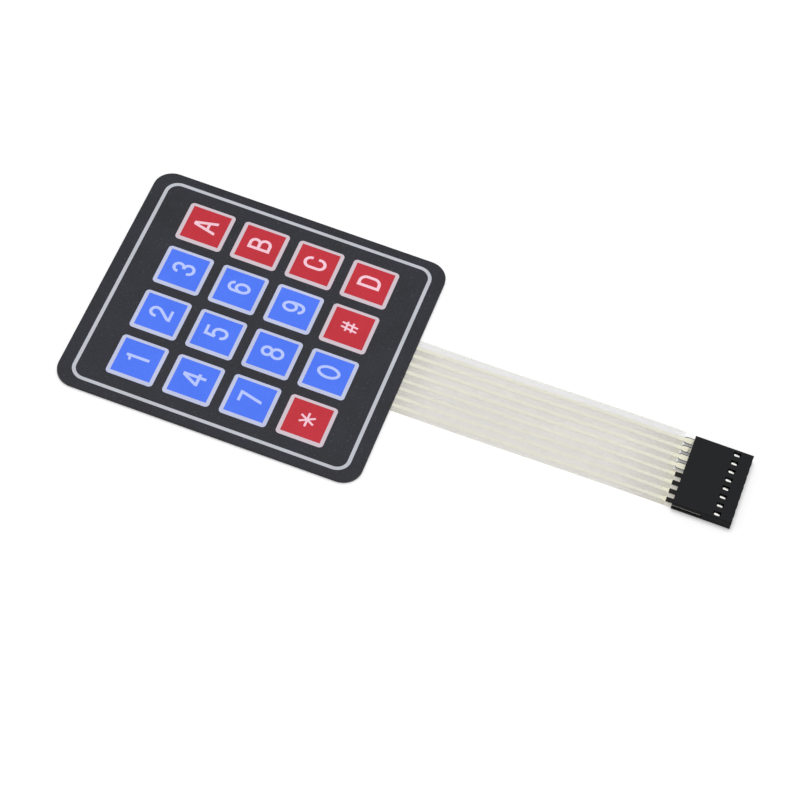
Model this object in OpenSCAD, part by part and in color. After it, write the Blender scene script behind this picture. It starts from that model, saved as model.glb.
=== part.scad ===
// Sixteen-key membrane keypad: a stack of printed films with a flat tail and an eight-way receptacle.
// The back face lies at z = 0, the keys face +Z and the tail leaves the bottom edge along -Y.

/* [Pad] */
// Width of the pad, along X
pad_w = 69; // [66:0.5:90]
// Height of the pad, along Y
pad_h = 77; // [74:0.5:100]
// Radius of the pad's corners
pad_corner_r = 5; // [2:0.5:9]

/* [Keys] */
// Distance between key columns
key_pitch_x = 14.5; // [12.6:0.1:16]
// Distance between key rows
key_pitch_y = 14.4; // [12.6:0.1:16]
// Outer size of a key's silver frame
key_size = 11.9; // [8:0.1:12.4]
// Width of the silver line round a key
key_line_w = 0.95; // [0.4:0.05:2]
// How far the colours are printed to the right of their frames
colour_shift = 0.15; // [0:0.05:0.3]
// Outer corner radius of a key's frame
key_corner_r = 1; // [0.2:0.1:3]

/* [Border line] */
// From the pad's side edges to the middle of the line
border_inset_x = 2.85; // [1.5:0.05:4]
// From the pad's top and bottom edges to the middle of the line
border_inset_y = 3.7; // [1.5:0.05:6]
// Width of the line
border_line_w = 0.9; // [0.4:0.1:1.6]
// Corner radius at the middle of the line
border_corner_r = 3.2; // [1:0.1:8]

/* [Layers] */
// Thickness of the paper release liner
liner_t = 0.1; // [0.06:0.01:0.3]
// Thickness of the rear adhesive
rear_adhesive_t = 0.1; // [0.05:0.01:0.3]
// Thickness of each circuit film
film_t = 0.12; // [0.08:0.01:0.2]
// Thickness of the spacer between the circuit films
spacer_t = 0.18; // [0.14:0.01:0.3]
// Thickness of the adhesive under the overlay
overlay_adhesive_t = 0.06; // [0.03:0.01:0.2]
// Thickness of the graphic overlay
overlay_t = 0.2; // [0.12:0.01:0.4]
// Depth of the printed colours in the overlay
print_t = 0.05; // [0.02:0.01:0.1]
// Thickness of the printed silver
silver_t = 0.03; // [0.01:0.01:0.05]
// Thickness of the carbon over the silver
carbon_t = 0.02; // [0.01:0.01:0.04]

/* [Circuits] */
// Diameter of a contact under a key
contact_d = 6; // [4:0.5:7.5]
// Room between a contact and the edge of its spacer hole
contact_margin = 1.2; // [0.5:0.1:1.6]
// Width of a silver track
track_w = 0.9; // [0.4:0.05:1]
// Distance between tracks that run side by side in the pad
track_pitch = 1.5; // [1.1:0.1:1.8]
// From the pad's edge to the middle of the outermost track
track_inset = 2.2; // [1.5:0.1:3]
// Width of the vent channels in the spacer
vent_w = 1; // [0.5:0.1:1.5]
// From the middle of a column or row of holes to its vent channel
vent_offset = 2.6; // [1.5:0.1:3]

/* [Back] */
// Depth of the notch in liner and adhesive over the tail
notch_d = 3.7; // [1:0.1:6]
// Room beside the tail in the notch
notch_gap = 0.6; // [0.2:0.1:2]

/* [Tail] */
// Distance between neighbouring conductors
pin_pitch = 2.54; // [2.5:0.02:2.9]
// From the first row conductor to the tail's edge
row_side_margin = 1.75; // [1.2:0.05:3]
// From the last column conductor to the tail's edge
column_side_margin = 2.25; // [1.2:0.05:3]
// From the last column conductor to the spacer's edge in the tail
spacer_side_margin = 0.7; // [0.6:0.05:1.2]
// Length of the tail between the pad and the housing
tail_l = 70.4; // [40:0.2:150]
// Length of tail that lies level at each end
tail_level_l = 6; // [4:0.5:10]
// Length of the rows' bare film end in front of the housing
bare_l = 1.7; // [1:0.1:2.9]
// Width of a conductor's widened end
conductor_end_w = 1.5; // [1.1:0.05:1.7]
// Length over which a conductor widens
flare_l = 0.6; // [0.5:0.1:1.5]
// Silver beyond each end of that widening, up to a film's cut edge
flare_lead = 0.1; // [0.05:0.05:0.4]
// Silver-free strip at the end of each film
conductor_end_gap = 0.4; // [0.2:0.1:1]
// Width of the carbon on the row conductors
row_carbon_w = 1.4; // [1:0.05:1.8]
// Carbon that shows round the ends of the column conductors
column_carbon_rim = 0.22; // [0.05:0.01:0.3]

/* [Connector] */
// Length of the housing, along the tail
housing_l = 14.6; // [14:0.1:18]
// Height of the housing
housing_h = 2.6; // [2.4:0.05:3.2]
// Wall outside the outermost cavities
housing_end_wall = 0.41; // [0.3:0.01:1.5]
// Wall above and below each cavity
housing_face_wall = 0.55; // [0.4:0.05:0.6]
// Wall at the front, round the pin holes
housing_front_wall = 1.3; // [1.1:0.1:2]
// Chamfer along the housing's long edges
housing_chamfer = 0.15; // [0.05:0.05:0.3]
// Width of each terminal cavity
cavity_w = 1.9; // [1.7:0.05:2.1]
// Depth of the slot that takes the film
film_slot_l = 7.4; // [7:0.1:7.6]
// Room above and below the film in its slot
film_slot_gap = 0.2; // [0.1:0.05:0.3]
// Room between the film's end and the end of the slot
film_end_gap = 0.3; // [0.1:0.1:0.6]
// How far the film's end stays inside the housing's sides
film_side_gap = 0.25; // [0.1:0.05:0.35]
// From the housing to the shoulders where the film narrows
film_shoulder = 0.15; // [0.1:0.05:0.5]
// Width of a window over a terminal
window_w = 1.15; // [0.6:0.05:1.5]
// Length of a window
window_l = 1.8; // [1:0.1:2.4]
// From the housing's front to the middle of a window
window_from_front = 3.9; // [3:0.1:5]
// Side of a square pin hole
pin_hole_w = 0.9; // [0.75:0.05:1.1]
// Diameter of a pin hole's lead-in at the front face
lead_in_d = 2.8; // [1.4:0.1:3]
// Depth of the lead-in
lead_in_l = 1; // [0.4:0.1:1]

/* [Terminals] */
// Thickness of the sheet metal
metal_t = 0.2; // [0.12:0.01:0.24]
// Gap between a terminal and its cavity
terminal_gap = 0.05; // [0.02:0.01:0.1]
// Length of the socket that takes a pin
socket_l = 5.5; // [5:0.1:5.7]
// Gap between the two contact springs at rest
spring_gap = 0.5; // [0.3:0.05:0.6]
// Width of the contact springs
spring_w = 0.9; // [0.5:0.05:1.1]
// Height of the locking tongue in the window
lance_h = 0.2; // [0.1:0.05:0.3]
// Slit between the locking tongue and the window
lance_gap = 0.1; // [0.05:0.05:0.25]
// Length of the crimp
crimp_l = 4.6; // [4:0.1:5.5]
// Width of the crimp
crimp_w = 1.5; // [1.2:0.05:1.6]
// From the film's end to the crimp
crimp_setback = 0.3; // [0.1:0.1:0.8]
// Length of each crimp claw
claw_l = 1.4; // [0.8:0.1:1.8]
// Gap between the tips of facing claws
claw_tip_gap = 0.2; // [0.1:0.05:0.4]
// Gap between a claw and its slit in the film
slit_gap = 0.02; // [0.01:0.01:0.05]

/* [Hidden] */
$fn = 48;
KEY_NAMES = [
    ["1", "2", "3", "a"],
    ["4", "5", "6", "b"],
    ["7", "8", "9", "c"],
    ["star", "0", "hash", "d"]
];
key_count = len(KEY_NAMES);
last_key = key_count - 1;
pin_count = 2 * key_count;
last_pin = pin_count - 1;
through = 1;
tail_lap = 0.5;
ramp_steps = 16;

// Heights of the layers' undersides, from the back
adhesive_z = liner_t;
lower_film_z = adhesive_z + rear_adhesive_t;
spacer_z = lower_film_z + film_t;
upper_film_z = spacer_z + spacer_t;
overlay_adhesive_z = upper_film_z + film_t;
overlay_z = overlay_adhesive_z + overlay_adhesive_t;
face_z = overlay_z + overlay_t;
print_z = face_z - print_t;
column_silver_z = upper_film_z - silver_t;

// Places along the tail
pad_edge_y = -pad_h / 2;
housing_rear_y = pad_edge_y - tail_l;
housing_front_y = housing_rear_y - housing_l;
row_cut_y = housing_rear_y + bare_l;
film_end_y = housing_rear_y - film_slot_l + film_end_gap;
flare_end_y = row_cut_y + flare_lead;
flare_start_y = flare_end_y + flare_l;
column_cut_y = flare_start_y + flare_lead;
conductor_end_y = film_end_y + conductor_end_gap;
ramp_start_y = pad_edge_y - tail_level_l;
ramp_end_y = housing_rear_y + tail_level_l;
tail_left_x = -last_pin * pin_pitch / 2 - row_side_margin;
tail_right_x = last_pin * pin_pitch / 2 + column_side_margin;
spacer_right_x = last_pin * pin_pitch / 2 + spacer_side_margin;
tail_t = 2 * film_t + spacer_t;
tail_rise = housing_h / 2 - lower_film_z - tail_t / 2;

// Sizes inside the housing, measured from its front face
housing_w = last_pin * pin_pitch + cavity_w + 2 * housing_end_wall;
cavity_h = housing_h - 2 * housing_face_wall;
film_slot_h = tail_t + 2 * film_slot_gap;
socket_start = housing_front_wall + terminal_gap;
socket_end = socket_start + socket_l;
socket_w = cavity_w - 2 * terminal_gap;
socket_h = cavity_h - 2 * terminal_gap;
socket_z = housing_face_wall + terminal_gap;
socket_top_z = socket_z + socket_h;
window_start = window_from_front - window_l / 2;
crimp_start = housing_l - film_slot_l + film_end_gap + crimp_setback;
crimp_film_z = lower_film_z + tail_rise;
crimp_z = crimp_film_z - metal_t;
claw_fold_z = crimp_film_z + film_t + silver_t + carbon_t;
claw_x = (crimp_w - metal_t) / 2;
claw_pairs = [for (share = [0.25, 0.75]) crimp_start + share * crimp_l];

function column_x(c) = (c - last_key / 2) * key_pitch_x;
function row_y(r) = (last_key / 2 - r) * key_pitch_y;
function conductor_x(i) = (i - last_pin / 2) * pin_pitch;
function bundle_x(i) = -pad_w / 2 + track_inset + i * track_pitch;
function bundle_y(i) = pad_edge_y + track_inset + i * track_pitch;
function is_red(r, c) = c == last_key || (r == last_key && c != 1);

// The tail's rise above the pad's own level, a half wave from the pad to the housing
function ramp_share(y) = min(1, max(0, (ramp_start_y - y) / (ramp_start_y - ramp_end_y)));
function rise(y) = tail_rise * (1 - cos(180 * ramp_share(y))) / 2;
function tail_stations(end_y) = concat(
    [pad_edge_y + tail_lap],
    [for (k = [0:ramp_steps]) ramp_start_y + (ramp_end_y - ramp_start_y) * k / ramp_steps],
    [end_y]
);

// Flat shapes
module rounded_rectangle(w, h, r) {
    square([w - 2 * r, h], center = true);
    square([w, h - 2 * r], center = true);
    for (sx = [-1, 1], sy = [-1, 1])
        translate([sx * (w / 2 - r), sy * (h / 2 - r)]) circle(r);
}

module pad_outline() {
    rounded_rectangle(pad_w, pad_h, pad_corner_r);
}

module back_outline() {
    difference() {
        pad_outline();
        translate([tail_left_x - notch_gap, pad_edge_y - through])
            square([tail_right_x - tail_left_x + 2 * notch_gap, notch_d + through]);
    }
}

module border_outline(offset_out) {
    rounded_rectangle(
        pad_w - 2 * (border_inset_x - offset_out),
        pad_h - 2 * (border_inset_y - offset_out),
        border_corner_r + offset_out
    );
}

module border_ring() {
    difference() {
        border_outline(border_line_w / 2);
        border_outline(-border_line_w / 2);
    }
}

module key_outline() {
    rounded_rectangle(key_size, key_size, key_corner_r);
}

module key_field_outline() {
    translate([colour_shift, 0]) square(key_size - 2 * key_line_w, center = true);
}

module at_keys() {
    for (r = [0:last_key], c = [0:last_key])
        translate([column_x(c), row_y(r)]) children();
}

module track(points) {
    for (k = [0:len(points) - 2]) {
        step = points[k + 1] - points[k];
        translate(points[k])
            rotate(atan2(step[1], step[0]))
            translate([-track_w / 2, -track_w / 2])
            square([norm(step) + track_w, track_w]);
    }
}

module row_circuit(r) {
    track([
        [column_x(last_key), row_y(r)],
        [bundle_x(r), row_y(r)],
        [bundle_x(r), bundle_y(r)],
        [conductor_x(r), bundle_y(r)],
        [conductor_x(r), pad_edge_y]
    ]);
    for (c = [0:last_key]) translate([column_x(c), row_y(r)]) circle(d = contact_d);
}

module column_circuit(c) {
    pin = key_count + c;
    track([
        [column_x(c), row_y(0)],
        [column_x(c), bundle_y(c)],
        [conductor_x(pin), bundle_y(c)],
        [conductor_x(pin), pad_edge_y]
    ]);
    for (r = [0:last_key]) translate([column_x(c), row_y(r)]) circle(d = contact_d);
}

// The widened end of a conductor, with a rim of the given width
module conductor_end(pin, rim = 0) {
    neck = track_w / 2 + rim;
    half = conductor_end_w / 2 + rim;
    translate([conductor_x(pin), 0])
        polygon([
            [-neck, flare_start_y],
            [-half, flare_end_y],
            [-half, conductor_end_y],
            [half, conductor_end_y],
            [half, flare_end_y],
            [neck, flare_start_y]
        ]);
}

module row_carbon_end(pin) {
    translate([conductor_x(pin) - row_carbon_w / 2, conductor_end_y])
        square([row_carbon_w, row_cut_y - conductor_end_y]);
}

module vents() {
    for (c = [0:last_key])
        translate([column_x(c) + vent_offset - vent_w / 2, row_y(last_key)])
            square([vent_w, row_y(0) - row_y(last_key)]);
    translate([column_x(0), row_y(0) + vent_offset - vent_w / 2])
        square([column_x(last_key) - column_x(0), vent_w]);
}

// Solid helpers
module layer(z, t) {
    translate([0, 0, z]) linear_extrude(t) children();
}

// A strip of the tail from x0 to x1 that follows the tail's rise and ends at end_y
module tail_strip(x0, x1, z, t, end_y) {
    stations = tail_stations(end_y);
    under = [for (y = stations) [y, z + rise(y)]];
    over = [for (k = [len(stations) - 1:-1:0]) [stations[k], z + t + rise(stations[k])]];
    translate([x0, 0, 0])
        rotate([90, 0, 90])
        linear_extrude(x1 - x0)
        polygon(concat(under, over));
}

module along_housing(profile, w) {
    translate([-w / 2, 0, 0]) rotate([90, 0, 90]) linear_extrude(w) polygon(profile);
}

module claw_slits(pin) {
    slit_w = metal_t + 2 * slit_gap;
    slit_l = claw_l + 2 * slit_gap;
    for (side = [-1, 1], middle = claw_pairs)
        translate([
            conductor_x(pin) + side * claw_x - slit_w / 2,
            housing_front_y + middle - slit_l / 2,
            0
        ])
            cube([slit_w, slit_l, housing_h]);
}

module row_silver(r) {
    layer(spacer_z, silver_t) row_circuit(r);
    tail_strip(conductor_x(r) - track_w / 2, conductor_x(r) + track_w / 2,
        spacer_z, silver_t, flare_start_y);
    layer(spacer_z + tail_rise, silver_t) conductor_end(r);
}

module column_silver(c) {
    pin = key_count + c;
    layer(column_silver_z, silver_t) column_circuit(c);
    tail_strip(conductor_x(pin) - track_w / 2, conductor_x(pin) + track_w / 2,
        column_silver_z, silver_t, flare_start_y);
    layer(column_silver_z + tail_rise, silver_t) conductor_end(pin);
}

// A film of the pad and tail, whose two halves end at different places: rows at -X, columns at +X
module pad_and_tail(z, t, row_end_y, column_end_y, right_x = tail_right_x) {
    layer(z, t) pad_outline();
    tail_strip(tail_left_x, 0, z, t, row_end_y);
    tail_strip(0, right_x, z, t, column_end_y);
}

// What the film's end lacks on both sides, so that it fits between the housing's sides
module film_end_trim() {
    half_w = housing_w / 2 - film_side_gap;
    for (x = [-housing_w, half_w])
        translate([x, film_end_y - through, 0])
            cube([
                housing_w - half_w,
                housing_rear_y + film_shoulder - film_end_y + through,
                housing_h
            ]);
}

// Sub-parts
module graphic_overlay() {
    color("#2f3136")
        difference() {
            layer(overlay_z, overlay_t) pad_outline();
            layer(print_z, print_t + through) {
                border_ring();
                at_keys() key_outline();
            }
        }
}

module border_line() {
    color("#c9cad2") layer(print_z, print_t) border_ring();
}

module key_frames() {
    color("#c9cad2")
        layer(print_z, print_t)
        at_keys() difference() {
            key_outline();
            key_field_outline();
        }
}

module key_field(r, c) {
    color(is_red(r, c) ? "#c8323e" : "#4f7bf5")
        layer(print_z, print_t)
        translate([column_x(c), row_y(r)]) key_field_outline();
}

module overlay_adhesive() {
    color("#e6e4ea") layer(overlay_adhesive_z, overlay_adhesive_t) pad_outline();
}

module upper_circuit_film() {
    color("#e4e2df", 0.6)
        difference() {
            pad_and_tail(upper_film_z, film_t, row_cut_y, film_end_y);
            for (c = [0:last_key]) claw_slits(key_count + c);
            film_end_trim();
        }
}

module column_track(c) {
    color("#e2e1cc")
        difference() {
            column_silver(c);
            claw_slits(key_count + c);
        }
}

module column_carbon() {
    color("#232323")
        for (c = [0:last_key]) difference() {
            layer(column_silver_z - carbon_t + tail_rise, silver_t + carbon_t)
                conductor_end(key_count + c, column_carbon_rim);
            column_silver(c);
            claw_slits(key_count + c);
        }
}

module spacer() {
    color("#dddcd8")
        difference() {
            pad_and_tail(spacer_z, spacer_t, row_cut_y, column_cut_y, spacer_right_x);
            layer(spacer_z - through, spacer_t + 2 * through) {
                at_keys() circle(d = contact_d + 2 * contact_margin);
                vents();
            }
            for (k = [0:last_key]) {
                row_silver(k);
                column_silver(k);
            }
        }
}

module row_track(r) {
    color("#e2e1cc")
        difference() {
            row_silver(r);
            claw_slits(r);
        }
}

module row_carbon() {
    color("#232323")
        for (r = [0:last_key]) difference() {
            layer(spacer_z + tail_rise, silver_t + carbon_t) row_carbon_end(r);
            row_silver(r);
            claw_slits(r);
        }
}

module lower_circuit_film() {
    color("#e4e2df", 0.6)
        difference() {
            pad_and_tail(lower_film_z, film_t, film_end_y, column_cut_y);
            for (r = [0:last_key]) claw_slits(r);
            film_end_trim();
        }
}

module rear_adhesive() {
    color("#d8d6cc") layer(adhesive_z, rear_adhesive_t) back_outline();
}

module release_liner() {
    color("#f4f4f4") layer(0, liner_t) back_outline();
}

module housing_block() {
    half_w = housing_w / 2;
    translate([0, housing_rear_y, 0])
        rotate([90, 0, 0])
        linear_extrude(housing_l)
        polygon([
            [-half_w + housing_chamfer, 0],
            [half_w - housing_chamfer, 0],
            [half_w, housing_chamfer],
            [half_w, housing_h - housing_chamfer],
            [half_w - housing_chamfer, housing_h],
            [-half_w + housing_chamfer, housing_h],
            [-half_w, housing_h - housing_chamfer],
            [-half_w, housing_chamfer]
        ]);
}

// The room for one terminal: cavity, window, pin hole and lead-in
module terminal_room() {
    translate([-cavity_w / 2, housing_front_wall, housing_face_wall])
        cube([cavity_w, housing_l - housing_front_wall + through, cavity_h]);
    translate([-window_w / 2, window_start, housing_h / 2])
        cube([window_w, window_l, housing_h / 2 + through]);
    translate([-pin_hole_w / 2, -through, (housing_h - pin_hole_w) / 2])
        cube([pin_hole_w, housing_front_wall + 2 * through, pin_hole_w]);
    translate([0, 0, housing_h / 2])
        rotate([-90, 0, 0])
        cylinder(h = lead_in_l, d1 = lead_in_d, d2 = pin_hole_w);
}

module connector_housing() {
    color("#2a2a2c")
        difference() {
            housing_block();
            for (i = [0:last_pin])
                translate([conductor_x(i), housing_front_y, 0]) terminal_room();
            translate([
                -housing_w / 2 - through,
                housing_rear_y - film_slot_l,
                (housing_h - film_slot_h) / 2
            ])
                cube([housing_w + 2 * through, film_slot_l + through, film_slot_h]);
        }
}

// A bowed spring from the socket's upper wall to the pin, as wide as spring_w
module contact_spring() {
    wall_z = socket_top_z - metal_t / 2;
    tip_z = (housing_h + spring_gap) / 2;
    start = socket_start + metal_t;
    end = socket_end - metal_t;
    middle = (start + end) / 2;
    along_housing([
        [start, wall_z],
        [middle, tip_z],
        [end, wall_z],
        [end - 2 * metal_t, wall_z],
        [middle, tip_z + metal_t],
        [start + 2 * metal_t, wall_z]
    ], spring_w);
}

module upside_down() {
    translate([0, 0, housing_h]) mirror([0, 0, 1]) children();
}

module socket() {
    difference() {
        translate([-socket_w / 2, socket_start, socket_z])
            cube([socket_w, socket_l, socket_h]);
        translate([-socket_w / 2 + metal_t, socket_start - through, socket_z + metal_t])
            cube([socket_w - 2 * metal_t, socket_l + 2 * through, socket_h - 2 * metal_t]);
        translate([-window_w / 2, window_start, socket_top_z - metal_t])
            cube([window_w, window_l, metal_t + through]);
    }
    contact_spring();
    upside_down() contact_spring();
}

// The locking tongue is cut free of the socket's wall on three sides and slopes up into the window
module locking_lance() {
    end = window_start + window_l - lance_gap;
    top_z = socket_top_z + lance_h;
    along_housing([
        [window_start, socket_top_z - metal_t],
        [end, top_z - metal_t],
        [end, top_z],
        [window_start, socket_top_z]
    ], window_w - 2 * lance_gap);
}

// The crimp: a neck from the socket, a base under the film and claws that pierce it and fold over
module crimp() {
    neck_end = crimp_start + metal_t;
    fold_w = (crimp_w - claw_tip_gap) / 2;
    along_housing([
        [socket_end - metal_t, socket_z],
        [socket_end, socket_z],
        [neck_end, crimp_z],
        [neck_end, crimp_z + metal_t],
        [crimp_start, crimp_z + metal_t],
        [socket_end - metal_t, socket_z + metal_t]
    ], spring_w);
    translate([-crimp_w / 2, crimp_start, crimp_z]) cube([crimp_w, crimp_l, metal_t]);
    for (side = [-1, 1], middle = claw_pairs) {
        translate([side * claw_x - metal_t / 2, middle - claw_l / 2, crimp_z])
            cube([metal_t, claw_l, claw_fold_z + metal_t - crimp_z]);
        translate([side * (crimp_w - fold_w) / 2 - fold_w / 2, middle - claw_l / 2, claw_fold_z])
            cube([fold_w, claw_l, metal_t]);
    }
}

module terminal(i) {
    color("#d9d9dc")
        translate([conductor_x(i), housing_front_y, 0]) {
            socket();
            locking_lance();
            if (i < key_count) crimp();
            else upside_down() crimp();
        }
}

graphic_overlay();
border_line();
key_frames();
for (r = [0:last_key], c = [0:last_key])
    key_field(r, c);
overlay_adhesive();
upper_circuit_film();
for (c = [0:last_key])
    column_track(c);
column_carbon();
spacer();
for (r = [0:last_key])
    row_track(r);
row_carbon();
lower_circuit_film();
rear_adhesive();
release_liner();
connector_housing();
for (i = [0:last_pin])
    terminal(i);
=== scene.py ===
# %% [markdown]
# # A sixteen-key membrane keypad
#
# The real thing is a stack of thin printed films. A matt black top film carries blue and red keys, two
# milky films under it carry the silver circuits, and a paper liner covers the glue on the back. The
# circuit films leave the pad as a flat tail and end in a small black receptacle for eight pins.
#
# The solids come from the CAD model, exactly where they belong, so this lesson adds what a solid can't
# have: the printed legends, the finish of every layer, the light and the camera.

import math

import bpy
from mathutils import Matrix, Vector


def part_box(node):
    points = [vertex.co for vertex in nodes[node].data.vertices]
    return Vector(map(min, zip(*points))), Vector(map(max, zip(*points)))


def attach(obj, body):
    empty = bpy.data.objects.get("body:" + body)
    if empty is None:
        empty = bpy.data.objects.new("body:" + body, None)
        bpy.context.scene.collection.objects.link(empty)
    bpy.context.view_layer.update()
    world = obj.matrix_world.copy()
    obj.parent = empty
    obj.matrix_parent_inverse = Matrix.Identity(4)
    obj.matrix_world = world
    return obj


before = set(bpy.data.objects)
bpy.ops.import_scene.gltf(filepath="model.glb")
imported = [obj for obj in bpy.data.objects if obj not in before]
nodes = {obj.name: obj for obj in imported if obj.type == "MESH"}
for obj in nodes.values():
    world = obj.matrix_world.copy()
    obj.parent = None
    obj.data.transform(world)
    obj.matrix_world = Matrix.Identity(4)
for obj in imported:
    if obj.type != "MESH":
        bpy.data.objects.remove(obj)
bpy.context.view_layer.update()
MM = 0.001


# %% [markdown]
# ## The camera
#
# A product photograph like this one is taken from well away with a long lens, so that the pad's sides
# stay nearly parallel. An aim point on the table, a direction, a distance and a lens say everything
# about such a camera. The camera was also held slightly turned, which is the roll. The turn is made last,
# about the line of sight, because it then leaves the aim point in the middle of the picture.

# %% Aim the camera
AIM = Vector((-6.795, -39.813, 0)) * MM
DISTANCE = 647.1 * MM
AZIMUTH = math.radians(-78.985)
ELEVATION = math.radians(55.645)
ROLL = math.radians(10.345)
LENS = 121.96

sight = Vector((
    -math.sin(AZIMUTH) * math.cos(ELEVATION),
    math.cos(AZIMUTH) * math.cos(ELEVATION),
    -math.sin(ELEVATION),
))
level_view = sight.to_track_quat("-Z", "Y").to_matrix()
bpy.ops.object.select_all(action="DESELECT")
bpy.ops.object.camera_add(location=AIM - sight * DISTANCE)
camera = bpy.context.object
camera.data.lens = LENS
camera.rotation_euler = (level_view @ Matrix.Rotation(ROLL, 3, "Z")).to_euler()
bpy.context.scene.camera = camera
print("camera stands at", [round(c / MM, 1) for c in camera.location], "mm")


# %% [markdown]
# ## What is seen directly
#
# Some surfaces below look one way to the eye and act another way on the light. The Light Path node tells
# the two apart, because it says whether a ray comes from the camera, from a reflection or through glass.
# The visibility settings of an object come close, but they switch the whole object off or on, and here
# a glow or a veil has to change by a share.

# %% A switch for what is seen directly


def seen_directly(tree):
    """A socket that is 1 for what is seen, also in a mirror or through glass, and 0 for the light itself."""
    path = tree.nodes.new("ShaderNodeLightPath")
    total = path.outputs["Is Camera Ray"]
    for name in ("Is Glossy Ray", "Is Transmission Ray"):
        either = tree.nodes.new("ShaderNodeMath")
        either.operation = "MAXIMUM"
        tree.links.new(total, either.inputs[0])
        tree.links.new(path.outputs[name], either.inputs[1])
        total = either.outputs[0]
    return total


print("switch ready")


# %% [markdown]
# ## The table
#
# The keypad lies on a white table that runs on without an edge. Seen from this high up, a wide plane does
# that, with no need for a curved backdrop. Its white is partly painted and partly seen: the paint takes
# the light and keeps the soft shadow beside the pad, and a little glow that only the eye sees lifts the
# bare table to clean white.

# %% Lay the table
TABLE_SIZE = 6.0
TABLE_DROP = 0.02 * MM

bpy.ops.object.select_all(action="DESELECT")
bpy.ops.mesh.primitive_plane_add(size=TABLE_SIZE, location=(0, 0, -TABLE_DROP))
table = bpy.context.object
table.name = "table"
bpy.ops.object.transform_apply(location=True, rotation=True, scale=True)
print("table lies", TABLE_DROP / MM, "mm under the back of the pad")


# %% [markdown]
# ## The white of the table
#
# Paint and glow are two shaders, and an Add Shader sums them. The glow's strength runs through the switch
# above, so it lights nothing.

# %% Paint the table
TABLE_PAINT = 0.85
TABLE_GLOW = 0.2

table_white = bpy.data.materials.new("table_white")
table_white.use_nodes = True
tree = table_white.node_tree
tree.nodes.clear()
paint = tree.nodes.new("ShaderNodeBsdfDiffuse")
paint.inputs["Color"].default_value = (TABLE_PAINT, TABLE_PAINT, TABLE_PAINT, 1)
glow = tree.nodes.new("ShaderNodeEmission")
strength = tree.nodes.new("ShaderNodeMath")
strength.operation = "MULTIPLY"
strength.inputs[1].default_value = TABLE_GLOW
tree.links.new(seen_directly(tree), strength.inputs[0])
tree.links.new(strength.outputs[0], glow.inputs["Strength"])
both = tree.nodes.new("ShaderNodeAddShader")
tree.links.new(paint.outputs[0], both.inputs[0])
tree.links.new(glow.outputs[0], both.inputs[1])
surface = tree.nodes.new("ShaderNodeOutputMaterial")
tree.links.new(both.outputs[0], surface.inputs["Surface"])
table.data.materials.append(table_white)
print("table painted", TABLE_PAINT, "with a glow of", TABLE_GLOW)


# %% [markdown]
# ## The light
#
# The shadows in the picture are short and soft and fall towards the camera. A white room gives much of
# the light, and one large soft lamp high up behind the keypad gives the shadow its direction. The two
# together are set so that a colour comes out about as bright as it is written. What is seen of the room
# is white, also in a reflection, and the same switch as on the table keeps that apart from its light.

# %% Light the room
ROOM_LIGHT = 0.5

room = bpy.context.scene.world or bpy.data.worlds.new("room")
bpy.context.scene.world = room
room.use_nodes = True
tree = room.node_tree
backdrop = tree.nodes["Background"]
backdrop.inputs["Color"].default_value = (1, 1, 1, 1)
level = tree.nodes.new("ShaderNodeMapRange")
level.inputs["To Min"].default_value = ROOM_LIGHT
level.inputs["To Max"].default_value = 1.0
tree.links.new(seen_directly(tree), level.inputs["Value"])
tree.links.new(level.outputs[0], backdrop.inputs["Strength"])
print("room light has a strength of", ROOM_LIGHT)


# %% [markdown]
# ## The lamp
#
# A round area lamp is the soft box of a studio: the larger it is, the softer the shadow. A sun lamp would
# throw parallel light with no such size. The power follows from the share of light that the lamp gives
# the table, its distance and its height, so that a lamp hung elsewhere lights the table about as well.

# %% Hang the lamp
LAMP_SHARE = 0.56
LAMP_SIZE = 0.9
LAMP_DISTANCE = 1.5
LAMP_AZIMUTH = math.radians(20)
LAMP_ELEVATION = math.radians(77)

towards_lamp = Vector((
    math.cos(LAMP_AZIMUTH) * math.cos(LAMP_ELEVATION),
    math.sin(LAMP_AZIMUTH) * math.cos(LAMP_ELEVATION),
    math.sin(LAMP_ELEVATION),
))
bpy.ops.object.select_all(action="DESELECT")
bpy.ops.object.light_add(type="AREA", location=AIM + towards_lamp * LAMP_DISTANCE)
lamp = bpy.context.object
lamp.name = "soft_lamp"
lamp.data.shape = "DISK"
lamp.data.size = LAMP_SIZE
lamp.data.energy = LAMP_SHARE * math.pi**2 * LAMP_DISTANCE**2 / math.sin(LAMP_ELEVATION)
lamp.rotation_euler = (-towards_lamp).to_track_quat("-Z", "Y").to_euler()
print("lamp power", round(lamp.data.energy, 2), "W")


# %% [markdown]
# ## How a finish is built
#
# Every finish below is one Principled shader with a few nodes in front of it. By hand they are wired in
# the node editor, and here a few helpers do the same. Colours are given as they look on a screen, from 0
# to 255, and turned into the linear numbers that Blender works with.

# %% Shaders and wires


def seen(red, green, blue):
    """A screen colour as the linear colour a shader takes, by the sRGB curve."""
    linear = []
    for value in (red, green, blue):
        share = value / 255
        linear.append(share / 12.92 if share <= 0.04045 else ((share + 0.055) / 1.055) ** 2.4)
    return (*linear, 1.0)


def new_finish(name, **settings):
    """A material whose Principled shader has these plain settings. Underscores stand for spaces."""
    finish = bpy.data.materials.new(name)
    finish.use_nodes = True
    shader = finish.node_tree.nodes["Principled BSDF"]
    for socket, value in settings.items():
        shader.inputs[socket.replace("_", " ")].default_value = value
    return finish


def node(finish, kind, feeds, **properties):
    """A node whose inputs are fed by plain values or by other nodes' sockets. Returns its first output."""
    new = finish.node_tree.nodes.new(kind)
    for name, value in properties.items():
        setattr(new, name, value)
    for socket, value in feeds.items():
        if isinstance(value, bpy.types.NodeSocket):
            finish.node_tree.links.new(value, new.inputs[socket])
        else:
            new.inputs[socket].default_value = value
    return new.outputs[0]


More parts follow.
